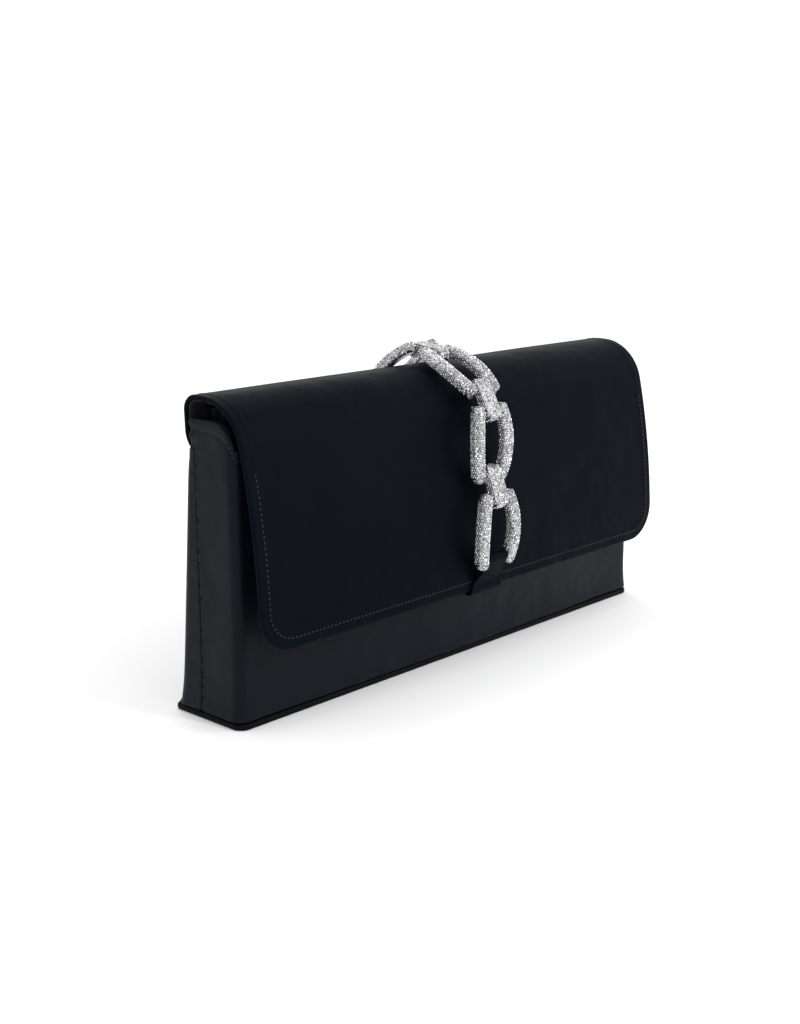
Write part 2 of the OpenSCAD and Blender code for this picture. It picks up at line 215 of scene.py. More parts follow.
bright_plate = make_plate("bright_plate", (0.80, 0.80, 0.82, 1), 0.08, 0.3)
setting_metal = make_plate("setting_metal", (0.30, 0.30, 0.32, 1), 0.22, 0.3)
nickel = make_plate("nickel", (0.62, 0.61, 0.60, 1), 0.16, 0.35)
ferrite = make_plate("ferrite", (0.05, 0.05, 0.055, 1), 0.55, 0.3)

# %% [markdown]
# ## Cut stones
# A foil-backed stone throws back light facet by facet: one flashes, its neighbour goes grey.
# Here that flashing is painted: each facet carries a random number and each stone its own (the two
# glint attributes). Together they paint the facet's colour from near black to white as painted
# reflections, and a thin clear coat gives the sharp glassy gleam.

# %% Stone material
def make_crystal():
    stone = Paint("cut_crystal", Metallic=0.9, Coat_Roughness=0.02, Coat_IOR=1.6)
    facet = stone.node("ShaderNodeAttribute", {"attribute_name": "facet_tone"}, out="Fac")
    whole = stone.node("ShaderNodeAttribute", {"attribute_name": "stone_tone"}, out="Fac")
    # Painted reflections: the facet's colour comes from random numbers, not from the light it faces.
    flash = facet * 0.88 + whole * 0.30
    colour = stone.node("ShaderNodeValToRGB", {"stops": [
        (0.0, (0.015, 0.015, 0.018, 1)), (0.35, (0.10, 0.10, 0.11, 1)),
        (0.68, (0.62, 0.62, 0.64, 1)), (1.0, (1.0, 1.0, 1.0, 1))]}, {"Fac": flash})
    return stone.finish(Base_Color=colour, Roughness=0.05 + whole * 0.06, Coat_Weight=facet * 0.6)


cut_crystal = make_crystal()

# %% [markdown]
# ## Mesh helpers
# Most soft pieces here are a middle surface with a thickness: a grid of points, pushed half the
# thickness to each side and closed round its rim with a half circle, like a turned cloth edge.

# %% Mesh helpers
def add_piece(name, points, faces, material, body, smooth=True):
    mesh = bpy.data.meshes.new(name)
    mesh.from_pydata([tuple(p) for p in points], [], [tuple(f) for f in faces])
    mesh.validate()
    mesh.materials.append(material)
    for face in mesh.polygons:
        face.use_smooth = smooth
    piece = bpy.data.objects.new(name, mesh)
    bpy.context.collection.objects.link(piece)
    if body:
        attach(piece, body)
    print(f"{name}: {len(points)} points, {len(faces)} faces")
    return piece


def grid_normals(grid):
    along = np.gradient(grid, axis=0)
    over = np.gradient(grid, axis=1)
    out = np.cross(along, over)
    return out / np.maximum(np.linalg.norm(out, axis=2, keepdims=True), 1e-12)


def thick_cloth(middle, half, rim=5):
    """Closed shell around a grid of points (rows, columns, 3), with a round rim."""
    rows, cols, _ = middle.shape
    out = grid_normals(middle)
    half = np.broadcast_to(np.asarray(half, float), (rows, cols))[..., None]
    top, low = middle + out * half, middle - out * half
    points = list(top.reshape(-1, 3)) + list(low.reshape(-1, 3))
    count = rows * cols
    faces = []
    for r in range(rows - 1):
        for c in range(cols - 1):
            a = r * cols + c
            faces.append((a, a + cols, a + cols + 1, a + 1))
            faces.append((count + a, count + a + 1, count + a + cols + 1, count + a + cols))
    edge = [(0, c) for c in range(cols)] + [(r, cols - 1) for r in range(1, rows)]
    edge += [(rows - 1, c) for c in range(cols - 2, -1, -1)] + [(r, 0) for r in range(rows - 2, 0, -1)]
    ring = np.array([middle[e] for e in edge])
    ring_out = np.array([out[e] for e in edge])
    ring_half = np.array([half[e] for e in edge])
    run = np.roll(ring, -1, axis=0) - np.roll(ring, 1, axis=0)
    side = np.cross(run, ring_out)
    side /= np.maximum(np.linalg.norm(side, axis=1, keepdims=True), 1e-12)
    last = [r * cols + c for r, c in edge]
    bottom = [count + v for v in last]
    for turn in range(1, rim + 1):
        angle = math.pi * turn / (rim + 1)
        new = ring + ring_out * ring_half * math.cos(angle) - side * ring_half * math.sin(angle)
        start = len(points)
        points += list(new)
        loop = list(range(start, start + len(edge)))
        faces += rim_faces(last, loop)
        last = loop
    faces += rim_faces(last, bottom)
    return np.array(points), faces


def rim_faces(upper, lower):
    size = len(upper)
    return [(upper[i], upper[(i + 1) % size], lower[(i + 1) % size], lower[i]) for i in range(size)]


def outward(piece):
    """Turns a closed piece's faces outwards."""
    work = bmesh.new()
    work.from_mesh(piece.data)
    bmesh.ops.remove_doubles(work, verts=work.verts, dist=1e-6)
    bmesh.ops.recalc_face_normals(work, faces=work.faces)
    work.to_mesh(piece.data)
    work.free()
    return piece


def ripple(point, scale, seed=0.0):
    return noise.noise(Vector(point) * scale + Vector((seed, seed * 1.7, seed * 0.3)))


# %% [markdown]
# ## Body sizes
# The walls follow the CAD wrap: a straight front with soft corners, side walls that rise to the
# mouth line, and a back that leans forward. Near the floor the satin spreads to meet the base.

# %% Body form
def spread(node):
    low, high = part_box(node)
    return np.array(low), np.array(high)


wrap_low, wrap_high = spread("front_wrap")
back_high = spread("back_panel")[1]
base_low, base_high = spread("base_cover")
board_low, board_high = spread("front_board")
wall_x = wrap_high[0]
ply = 1.0 * mm
front_y = board_low[1] - ply - 0.05 * mm
floor_z = wrap_low[2]
side_top = wrap_high[2]
front_top = board_high[2] + 2.0 * mm
seam_y = 3 * mm
wrap_back_y = wrap_high[1]
back_foot = back_high[1]
back_lean = math.tan(math.radians(4.5))
front_corner, back_corner = 4 * mm, 4 * mm
swell_high = front_y - wrap_low[1]
swell_z = 46 * mm


def back_y(z):
    return back_foot - (z - floor_z) * back_lean


def foot_flare(z):
    return 1.1 * mm * math.exp(-(z - floor_z) / (6 * mm))


def mouth_line(y):
    """Height of the wall's top edge at a place along the side."""
    radius = side_top - front_top
    turn = front_y + ply + radius
    if y >= turn:
        return side_top
    return front_top + math.sqrt(max(radius ** 2 - (turn - y) ** 2, 0))


def wall_point(x, y, out_x, out_y, z):
    """A place on the wall, moved out by the flare, the front swell and the cloth's own waves."""
    front_share = max(0.0, -out_y)
    lift = swell_high * math.exp(-(x / (62 * mm)) ** 2 - ((z - swell_z) / (34 * mm)) ** 2) * front_share
    wave = 0.35 * mm * ripple((x, y, z * 0.5), 22, 3.1) + 0.12 * mm * ripple((x, y, z), 90, 8.0)
    push = foot_flare(z) + lift + wave - 0.15 * mm
    return (x + out_x * push, y + out_y * push, z)


print(f"front at {front_y / mm:.1f} mm, side top {side_top / mm:.1f} mm, swell {swell_high / mm:.1f} mm")

# %% [markdown]
# ## Front and sides: one piece of satin
# The front wrap runs from the left side seam, round both soft front corners, to the right side
# seam. Its top edge is turned in and stitched. The seam edges pucker a little, because the
# thread pulls the satin in.

# %% Front wrap
def plan_path(start_y):
    """Plan of the front wrap from the left seam to the right: x, y, and the outward direction."""
    path = []
    side_run = start_y - (front_y + front_corner)
    for s in np.concatenate([np.linspace(0, 4 * mm, 6), np.linspace(4 * mm, side_run, 6)[1:]]):
        path.append((-wall_x, start_y - s, -1.0, 0.0))
    for a in np.linspace(0, math.pi / 2, 12)[1:]:
        path.append((-wall_x + front_corner * (1 - math.cos(a)),
                     front_y + front_corner * (1 - math.sin(a)), -math.cos(a), -math.sin(a)))
    half = wall_x - front_corner
    path += [(x, front_y, 0.0, -1.0) for x in np.linspace(-half, 0, 32)[1:]]
    mirrored = [(-x, y, -ox, oy) for x, y, ox, oy in path[-2::-1]]
    return path + mirrored


def pucker(distance, height, seed):
    """Gathers that fade away from a seam."""
    pull = math.exp(-distance / (3.5 * mm))
    return 0.22 * mm * pull * math.sin(height / mm * 1.25 + 2.2 * ripple((0, 0, height), 60, seed))


def tongue(z):
    """How far the side wall runs on past the seam, above the back panel's top edge."""
    rise = min(max((z - back_high[2] - 0.2 * mm) / (1.2 * mm), 0.0), 1.0)
    return (wrap_back_y - seam_y) * rise


def front_middle():
    path = plan_path(seam_y)
    rows = []
    for share in np.concatenate([np.linspace(0, 0.86, 44), np.linspace(0.87, 1, 16)]):
        row = []
        for x, y, ox, oy in path:
            z = floor_z + share * (mouth_line(y) - floor_z) - 0.5 * mm * share
            y += tongue(z) * max(0.0, 1 - (seam_y - y) / (8 * mm)) if abs(ox) > 0.99 else 0.0
            below = mouth_line(y) - z
            px, py, pz = wall_point(x, y, ox, oy, z)
            pull = pucker(seam_y - y, z, 1.0) if abs(ox) > 0.99 else 0.0
            stitch_dip = -0.22 * mm * math.exp(-((below - 4 * mm) / (0.7 * mm)) ** 2)
            hem = 0.18 * mm if below < 4 * mm else 0.0
            inset = -0.1 * mm + pull + stitch_dip + hem
            row.append((px + ox * inset, py + oy * inset, pz))
        rows.append(row)
    return np.array(rows)


front_grid = front_middle()
front_points, front_faces = thick_cloth(front_grid, 0.45 * mm)
front_satin = outward(add_piece("front_satin", front_points, front_faces, black_satin, "bag"))
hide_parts("front_wrap")

# %% [markdown]
# ## Back panel
# A second piece covers the back and wraps round the rear corners to the side seams. Its top edge
# is folded over the flap's tail.

# %% Back panel
def back_path():
    path = []
    for s in np.linspace(0, 1, 8):
        path.append((wall_x, s, 1.0, 0.0))
    for a in np.linspace(0, math.pi / 2, 9)[1:]:
        path.append((wall_x - back_corner * (1 - math.cos(a)), a, math.cos(a), math.sin(a)))
    half = wall_x - back_corner
    path += [(x, 2.0, 0.0, 1.0) for x in np.linspace(half, 0, 26)[1:]]
    return path + [(-x, s, -ox, oy) for x, s, ox, oy in path[-2::-1]]


def back_middle():
    rows = []
    for share in np.concatenate([np.linspace(0, 0.88, 34), np.linspace(0.9, 1, 12)]):
        z = floor_z + share * (back_high[2] - floor_z) - 0.5 * mm * share
        row = []
        for x, s, ox, oy in back_path():
            rear = back_y(z)
            turn = rear - back_corner
            if oy == 0.0:
                y = seam_y + 0.4 * mm + s * (turn - seam_y - 0.4 * mm)
            elif oy == 1.0:
                y = rear
            else:
                y = turn + back_corner * math.sin(s)
            below = back_high[2] - z
            dip = -0.22 * mm * math.exp(-((below - 4 * mm) / (0.7 * mm)) ** 2) * oy
            pull = pucker(y - seam_y, z, 5.0) if oy == 0.0 else 0.0
            wave = 0.3 * mm * ripple((x, y, z * 0.5), 22, 6.6)
            press = 0.65 * mm * math.exp(-(below / (7 * mm)) ** 2) * oy
            push = foot_flare(z) + wave - 0.1 * mm + dip + pull - press
            row.append((x + ox * push, y + oy * push, z))
        rows.append(row)
    return np.array(rows)


back_grid = back_middle()
back_points, back_faces = thick_cloth(back_grid, 0.45 * mm)
back_satin = outward(add_piece("back_satin", back_points, back_faces, black_satin, "bag"))
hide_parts("back_panel")

# %% [markdown]
# ## Base and piping
# The base is a card wrapped in satin, so its edge is a tight round. Above it a thin piping sits
# in the groove, in shadow, and hides the join.

# %% Base
def rounded_plan(half_x, half_y, back_radius, front_radius, turn=10):
    """Corner points of the base's plan, anticlockwise, with outward directions."""
    loop = []
    for quarter in range(4):
        radius = back_radius if quarter < 2 else front_radius
        cx = (half_x - radius) * (1 if quarter in (0, 3) else -1)
        cy = (half_y - radius) * (1 if quarter in (0, 1) else -1)
        for a in np.linspace(0, math.pi / 2, turn):
            angle = a + quarter * math.pi / 2
            loop.append((cx + radius * math.cos(angle), cy + radius * math.sin(angle),
                         math.cos(angle), math.sin(angle)))
    return loop


def ring_solid(name, loop, profile, material, body, capped):
    """Runs a side profile (out, up) round a plan loop; capped closes it with flat faces."""
    points = [(x + ox * out, y + oy * out, up) for out, up in profile for x, y, ox, oy in loop]
    size = len(loop)
    faces = []
    spans = len(profile) - 1 if capped else len(profile)
    for level in range(spans):
        here, above = level * size, ((level + 1) % len(profile)) * size
        faces += [(here + i, here + (i + 1) % size, above + (i + 1) % size, above + i)
                  for i in range(size)]
    if capped:
        faces += [tuple(range(size))[::-1], tuple(range(len(points) - size, len(points)))]
    return outward(add_piece(name, points, faces, material, body))


base_half = base_high - (base_low + base_high) / 2
base_thick = base_high[2] - base_low[2]
edge_round = 1.0 * mm
edge_profile = [(-edge_round * (1 - math.sin(a)), edge_round * (1 - math.cos(a)))
                for a in np.linspace(0, math.pi / 2, 6)]
edge_profile += [(out, base_thick - up) for out, up in edge_profile[::-1]]
base_loop = rounded_plan(base_half[0], base_half[1], 3 * mm, 5 * mm)
base_satin = ring_solid("base_satin", base_loop, edge_profile, dark_piping, "bag", True)
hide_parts("base_cover")

cord_r = 0.62 * mm
cord_profile = [(cord_r * math.cos(a) - 1.7 * mm, base_thick + 0.55 * mm + cord_r * math.sin(a))
                for a in np.linspace(0, 2 * math.pi, 9)[:-1]]
piping = ring_solid("piping", base_loop, cord_profile, dark_piping, "bag", False)
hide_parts("base_welt")

# %% [markdown]
# ## The flap's outline
# Seen from the end, the flap rises from its heel at the back, turns a small corner, runs over the
# crown and its round shoulder, and drops down the front in one long, almost straight curve. Each
# stretch is an arc, so one function gives the line at any depth under the outer face.

# %% Flap line
flap_low, flap_high = spread("flap_outer")
flap_half, crown_z, hem_z = flap_high[0], flap_high[2], flap_low[2]
heel_y, heel_z = 9.1 * mm, flap_high[2] - 19.6 * mm
back_bend, back_r = (3.6 * mm, crown_z - 6 * mm), 6 * mm
shoulder, shoulder_r = (-1.4 * mm, crown_z - 22.5 * mm), 22.5 * mm
drop_from = math.radians(167.2)
drop_r = 358 * mm
drop_centre = (shoulder[0] - (drop_r - shoulder_r) * math.cos(drop_from),
               shoulder[1] - (drop_r - shoulder_r) * math.sin(drop_from))
flap_corner = 16 * mm
heel_taper, heel_rise = 1.6 * mm, 6 * mm


def arc(centre, radius, start, end, count):
    angles = np.linspace(start, end, count)
    return [(centre[0] + radius * math.cos(a), centre[1] + radius * math.sin(a)) for a in angles]


def flap_line(depth, low):
    """Points from the heel over the crown to height low, at a depth under the outer face."""
    end = math.pi - math.asin((low - drop_centre[1]) / drop_r)
    line = [(heel_y - depth, heel_z), (back_bend[0] + back_r - depth, back_bend[1])]
    line += arc(back_bend, back_r - depth, math.radians(6), math.pi / 2, 14)
    line += arc(shoulder, shoulder_r - depth, math.pi / 2, drop_from, 60)
    line += arc(drop_centre, drop_r - depth, drop_from, end, 60)[1:]
    return np.array(line)


def evenly(line, places):
    """Points of a line at the given distances along it."""
    run = np.concatenate([[0], np.cumsum(np.linalg.norm(np.diff(line, axis=0), axis=1))])
    return np.stack([np.interp(places, run, line[:, k]) for k in range(line.shape[1])], 1), run[-1]


_, flap_run = evenly(flap_line(0, hem_z), [0])
print(f"the flap is {flap_run / mm:.0f} mm long over the crown and {2 * flap_half / mm:.0f} mm wide")

# %% [markdown]
# ## Flap satin
# The satin goes over card and wadding and is turned at the edges, so the rim is a soft round
# 2 mm thick. It is a grid whose columns run from heel to hem and draw in round the two lower
# corners. The stitch line presses a shallow furrow. At the free ends of the crown the lining
# ripples a little, because there is no card inside the bend; the satin there stays smooth. Near
# the heel both draw in a little.

# %% Flap surface
def flap_grid(depth, inset, ruffled):
    low = hem_z + inset
    line = flap_line(depth, low)
    _, length = evenly(line, [0])
    corner = flap_corner - inset
    turn = [length - corner * (1 - math.sin(a)) for a in np.linspace(0, math.pi / 2, 16)]
    along = np.concatenate([np.linspace(0, 20 * mm, 14), np.linspace(20 * mm, 60 * mm, 36)[1:],
                            np.linspace(60 * mm, length - corner, 34)[1:], turn[1:]])
    spine, _ = evenly(line, along)
    half = flap_half - inset
    reach = 6 * mm
    inner = -1 + reach / half
    across = np.concatenate([np.linspace(-1, inner, 9), np.linspace(inner, 0, 34)[1:]])
    across = np.concatenate([across, -across[-2::-1]])
    slope = np.gradient(spine, axis=0)
    slope /= np.linalg.norm(slope, axis=1, keepdims=True)
    grid = np.zeros((len(along), len(across), 3))
    for r, (y, z) in enumerate(spine):
        left = max(length - along[r], 0.0)
        draw = 0.0 if left >= corner else corner - math.sqrt(max(corner ** 2 - (corner - left) ** 2, 0))
        draw += heel_taper * max(0.0, 1 - along[r] / heel_rise) ** 2
        normal = (-slope[r][1], slope[r][0])
        for c, share in enumerate(across):
            x = share * (half - draw)
            edge = min(half - draw - abs(x), left) if left < corner else half - abs(x)
            push = flap_wave(x, along[r], edge, left, length, ruffled)
            grid[r, c] = (x, y - normal[0] * push, z - normal[1] * push)
    return grid


def flap_wave(x, run, edge, left, length, ruffled):
    """How far the satin lies under its smooth form: waves, the stitch furrow, the end ripples."""
    slow = 0.16 * mm * (1 + ripple((x, run, 0.0), 16, 4.4))
    furrow = 0.2 * mm * math.exp(-((min(edge, left) - 4 * mm) / (0.7 * mm)) ** 2)
    crown = math.exp(-((run - 26 * mm) / (15 * mm)) ** 2)
    end = math.exp(-edge / (3.5 * mm)) * crown
    ruffle = ruffled * end * (1 + math.sin(run / mm * 1.05 + 1.5 * math.sin(run / mm * 0.31)))
    return slow + furrow + ruffle


flap_mid = flap_grid(1.05 * mm, 0.55 * mm, 0.05 * mm)
flap_points, flap_faces = thick_cloth(flap_mid, 1.0 * mm, rim=7)
# The flap's satin uses the darker flap satin, whose colour is painted shade.
flap_satin = outward(add_piece("flap_satin", flap_points, flap_faces, shaded_flap_satin, "flap"))
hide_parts("flap_outer")

inner_mid = flap_grid(2.3 * mm, 1.1 * mm, 0.25 * mm)
inner_points, inner_faces = thick_cloth(inner_mid, 0.3 * mm, rim=3)
flap_inside = outward(add_piece("flap_inside", inner_points, inner_faces, lining_cloth, "flap"))
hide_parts("flap_lining")

# %% [markdown]
# ## Hinge cloth
# The flap's satin runs on as a tail, glued between the back panel and its card. That strip is the
# hinge: it bends where the flap meets the body, so it is blended from one to the other.

# %% Hinge cloth
tail_low, tail_high = spread("flap_tail")


def hinge_middle():
    half = tail_high[0]
    rows = []
    for z in np.concatenate([np.linspace(tail_low[2], heel_z - 2 * mm, 8),
                             np.linspace(heel_z - 1.5 * mm, heel_z + 1.5 * mm, 9),
                             np.linspace(heel_z + 2 * mm, heel_z + 6 * mm, 4)]):
        y = min(back_y(z) - 1.45 * mm, heel_y - 1.6 * mm)
        rows.append([(x, y, z) for x in np.linspace(half, -half, 40)])
    return np.array(rows)


hinge_points, hinge_faces = thick_cloth(hinge_middle(), 0.35 * mm, rim=3)
hinge_cloth = outward(add_piece("hinge_cloth", hinge_points, hinge_faces, black_satin, None))
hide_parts("flap_tail")
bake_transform(hinge_cloth)

# %% [markdown]
# ## Pouch lining
# The lining is a cup of cloth dropped into the walls. A little spare cloth lets it crease softly,
# most of all halfway up, and the creases fade out towards its floor and its top.

# %% Pouch lining
lining_low = spread("lining")[0]


def pouch_ring(inset, z):
    """Plan of the pouch at a height, anticlockwise: x, y and outward direction."""
    half = wall_x - inset
    front, rear = front_y + inset, back_y(z) - inset
    middle, deep = (front + rear) / 2, (rear - front) / 2
    bend = min(6 * mm, deep * 0.8)
    loop = rounded_plan(half, deep, bend, bend, 7)
    full = []
    for (x, y, ox, oy), (nx, ny, _, _) in zip(loop, loop[1:] + loop[:1]):
        parts = max(1, int(math.hypot(nx - x, ny - y) / (6 * mm)))
        full += [(x + (nx - x) * k / parts, middle + y + (ny - y) * k / parts, ox, oy) for k in range(parts)]
    return full


def lining_top(y):
    """The lining stands to just under the mouth at the front and sides, lower at the back."""
    blend = min(max((y - seam_y) / (4 * mm), 0), 1)
    return (mouth_line(y) - 1.3 * mm) * (1 - blend) + (back_high[2] - 0.8 * mm) * blend


def pouch_shell():
    foot = lining_low[2] + 0.1 * mm
    levels = np.concatenate([np.linspace(0, 0.2, 7), np.linspace(0.25, 1, 22)])
    size = 0
    points, rings = [], []
    for inset, bottom, order in ((3.55 * mm, foot, levels), (4.1 * mm, foot + 0.6 * mm, levels[::-1])):
        for share in order:
            start = len(points)
            for x, y, ox, oy in pouch_ring(inset, bottom + share * (front_top - bottom)):
                z = bottom + share * (lining_top(y) - bottom)
                crease = 0.35 * mm * ripple((x, y, z), 60, 9.0) * math.sin(math.pi * min(share * 1.1, 1))
                draw = -0.25 * mm - abs(crease)
                points.append((x + ox * draw, y + oy * draw, z))
            size = len(points) - start
            rings.append(start)
    faces = []
    for low, high in zip(rings, rings[1:]):
        faces += [(low + i, low + (i + 1) % size, high + (i + 1) % size, high + i) for i in range(size)]
    faces += [tuple(range(size))[::-1], tuple(range(rings[-1], rings[-1] + size))]
    return points, faces


pouch_lining = outward(add_piece("pouch_lining", *pouch_shell(), lining_cloth, "bag"))
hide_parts("lining")

# %% [markdown]
# ## Mouth binding and slip pocket
# A satin binding rolls over the top of the front and side walls and down inside, to cover the
# raw edges. On the back wall a patch pocket hangs a little open.

# %% Mouth binding
def binding_middle():
    path = plan_path(seam_y - 0.3 * mm)
    over = [(1.35, -1.4)] + [(2.9 - 1.55 * math.cos(a), -0.9 + 0.55 * math.sin(a))
                             for a in np.linspace(0, math.pi, 9)] + [(4.6, -d) for d in (3, 6, 9, 12, 15)]
    rows = []
    for inset, rise in over:
        row = []
        for x, y, ox, oy in path:
            px, py = x - ox * inset * mm, y - oy * inset * mm
            tuck = 0.1 * mm * ripple((x, y, inset), 140, 2.0)
            row.append((px, py, mouth_line(y) + rise * mm + tuck))
        rows.append(row)
    return np.array(rows)


binding_points, binding_faces = thick_cloth(binding_middle(), 0.28 * mm, rim=3)
mouth_binding = outward(add_piece("mouth_binding", binding_points, binding_faces, black_satin, "bag"))
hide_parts("mouth_facing")


# %% Slip pocket
pocket_low, pocket_high = spread("slip_pocket")


def pocket_middle():
    rows = []
    for t in np.linspace(0, 1, 26):
        row = []
        for s in np.linspace(1, -1, 40):
            z = pocket_low[2] + t * (pocket_high[2] - pocket_low[2]) - 1.2 * mm * t * (1 - s * s)
            belly = 1.3 * mm * (1 - s ** 4) * t ** 1.5 + 0.2 * mm * ripple((s * 0.06, t * 0.06, 1), 60, 3)
            row.append((s * pocket_high[0], back_y(z) - 5.3 * mm - belly, z))
        rows.append(row)
    return np.array(rows)


pocket_points, pocket_faces = thick_cloth(pocket_middle(), 0.3 * mm, rim=3)
pocket_cloth = outward(add_piece("pocket_cloth", pocket_points, pocket_faces, lining_cloth, "bag"))
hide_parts("slip_pocket")

# %% [markdown]
# ## Gathers at the ends of the mouth
# At each end of the mouth a short piece of satin is gathered and tucked in, so that the bag can
# open a little. It is cut wider than its place. The cloth starts as loose pleats of its true
# length, and a short cloth simulation lets it slump. Its top and bottom rows are sewn.

# %% Gathers
fold_low, fold_high = spread("left_fold")
pleats, pleat_deep = 4, 1.5 * mm


def pleat_shape(t, width):
    """Side to side place and depth of a point t of the way along a pleated strip."""
    return t * width, pleat_deep * math.sin(2 * math.pi * pleats * t) + 0.4 * mm * math.sin(19 * t)


def gathered(name, side, node, seed):
    width = fold_high[1] - fold_low[1] + 5 * mm
    tall = fold_high[2] - fold_low[2] + 1.5 * mm
    fine = np.linspace(0, 1, 400)
    shape = np.array([pleat_shape(t, width) for t in fine])
    run = np.concatenate([[0], np.cumsum(np.linalg.norm(np.diff(shape, axis=0), axis=1))])
    cols, rows = 61, 31
    places = np.stack([np.interp(np.linspace(0, run[-1], cols), run, shape[:, k]) for k in (0, 1)], 1)
    centre_x = side * abs((fold_low[0] + fold_high[0]) / 2 - 1.2 * mm)
    points = []
    for r in range(rows):
        level = r / (rows - 1)
        for along, deep in places:
            y = fold_low[1] - 2.5 * mm + along
            lean = 0.35 * mm * ripple((along, level * 0.02, 0), 300, seed)
            arch = 1.8 * mm * (1 - ((along / width) * 2 - 1) ** 2) * level
            points.append((centre_x - side * 1.0 * mm * (1 - level) + deep + lean, y,
                           fold_low[2] + level * tall + arch - 1.0 * mm * level))
    faces = [(a, a + 1, a + cols + 1, a + cols) for r in range(rows - 1) for a in
             range(r * cols, r * cols + cols - 1)]
    cloth = add_piece(name, points, faces, black_satin, None)
    slump(cloth, list(range(cols)) + list(range((rows - 1) * cols, rows * cols)))
    flat = (run[-1], tall)
    thicken = cloth.modifiers.new("thickness", "SOLIDIFY")
    thicken.thickness = 0.35 * mm
    thicken.offset = 0.0
    settle(cloth)
    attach(cloth, "bag")
    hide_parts(node)
    print(f"{name}: cut {flat[0] / mm:.1f} by {flat[1] / mm:.1f} mm")


def settle(piece):
    """Turns a piece's modifiers into its mesh."""
    graph = bpy.context.evaluated_depsgraph_get()
    mesh = bpy.data.meshes.new_from_object(piece.evaluated_get(graph), depsgraph=graph)
    piece.modifiers.clear()
    old = piece.data
    piece.data = mesh
    bpy.data.meshes.remove(old)
    for face in mesh.polygons:
        face.use_smooth = True


def slump(cloth, sewn):
    pins = cloth.vertex_groups.new(name="sewn")
    pins.add(sewn, 1.0, "REPLACE")
    sim = cloth.modifiers.new("cloth", "CLOTH")
    sim.settings.vertex_group_mass = "sewn"
    sim.settings.quality = 6
    sim.settings.mass = 0.05
    sim.settings.tension_stiffness = 30
    sim.settings.bending_stiffness = 0.02
    sim.settings.effector_weights.gravity = 0.15
    sim.collision_settings.use_collision = False
    sim.point_cache.frame_start, sim.point_cache.frame_end = 1, 12
    for frame_number in range(1, 13):
        bpy.context.scene.frame_set(frame_number)
    settle(cloth)
    cloth.vertex_groups.clear()
    bpy.context.scene.frame_set(1)


gathered("left_gathers", -1, "left_fold", 1.0)
gathered("right_gathers", 1, "right_fold", 2.0)

# %% [markdown]
# ## Front pad
# Behind the front satin a thin pad of fleece fills the gentle swell, so the magnet has a soft
# seat. It is thickest in the middle and dies away to nothing.

# %% Front pad
def pad_shell():
    points, faces = [], []
    rings, turns = 10, 40
    for layer in (0, 1):
        points.append((0, front_y - (swell_high if layer else 0) + 1.3 * mm, swell_z))
        for ring in range(1, rings + 1):
            for turn in range(turns):
                angle = 2 * math.pi * turn / turns
                share = ring / rings
                x, z = 60 * mm * share * math.cos(angle), swell_z + 36 * mm * share * math.sin(angle)
                lift = swell_high * math.exp(-(x / (62 * mm)) ** 2 - ((z - swell_z) / (34 * mm)) ** 2)
                y = front_y - lift * layer * (1 - (ring / rings) ** 6) + 1.3 * mm
                points.append((x, y, z))
    per = 1 + rings * turns
    for layer in (0, 1):
        base = layer * per
        faces += [(base, base + 1 + t, base + 1 + (t + 1) % turns) for t in range(turns)]
        for ring in range(rings - 1):
            a, b = base + 1 + ring * turns, base + 1 + (ring + 1) * turns
            faces += [(a + t, b + t, b + (t + 1) % turns, a + (t + 1) % turns) for t in range(turns)]
    a, b = 1 + (rings - 1) * turns, per + 1 + (rings - 1) * turns
    faces += [(a + t, b + t, b + (t + 1) % turns, a + (t + 1) % turns) for t in range(turns)]
    return points, faces


front_pad = outward(add_piece("front_pad", *pad_shell(), fleece, "bag"))
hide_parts("front_wadding")

# %% [markdown]
# ## Tabs
# Each tab is one ribbon of satin. It is sewn down at its foot, goes up to the pin, round it, and
# back down behind itself. The front one also folds round the flap's lower edge. A ribbon is a
# line in side view with a width at each point, so both tabs share one function.

# %% Tabs
front_pin = (-38.0 * mm, 47.4 * mm)
rear_pin = (25.57 * mm, 116.83 * mm)
tab_half = 5.7 * mm


def drop_y(z):
    return drop_centre[0] - math.sqrt(drop_r ** 2 - (z - drop_centre[1]) ** 2)


def loop_round(pin, radius, start, end):
    return arc(pin, radius, math.radians(start), math.radians(end), 16)


def smooth_line(points, step):
    """An even line through given points, with its corners eased."""
    line, length = evenly(np.array(points), [0])
    line, _ = evenly(np.array(points), np.linspace(0, length, int(length / step)))
    for _ in range(3):
        line[1:-1] = (line[:-2] + 2 * line[1:-1] + line[2:]) / 4
    return line


def ribbon(name, points, half_at, node, pull):
    line = smooth_line(points, 0.45 * mm)
    across = np.concatenate([np.linspace(-1, -0.8, 5), np.linspace(-0.8, 0.8, 15)[1:-1],
                             np.linspace(0.8, 1, 5)])
    slope = np.gradient(line, axis=0)
    slope /= np.linalg.norm(slope, axis=1, keepdims=True)
    rows = []
    for (y, z), (dy, dz) in zip(line, slope):
        row = []
        for share in across:
            x = share * half_at(y, z)
            wave = pull * (ripple((x, y, z), 110, 5.0) - 0.9 * math.exp(-((abs(share) - 0.82) / 0.05) ** 2))
            row.append((x, y - dz * wave, z + dy * wave))
        rows.append(row)
    points, faces = thick_cloth(np.array(rows), 0.44 * mm, rim=5)
    # The tabs use the darker flap satin, whose colour is painted shade.
    tab = outward(add_piece(name, points, faces, shaded_flap_satin, "flap"))
    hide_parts(node)


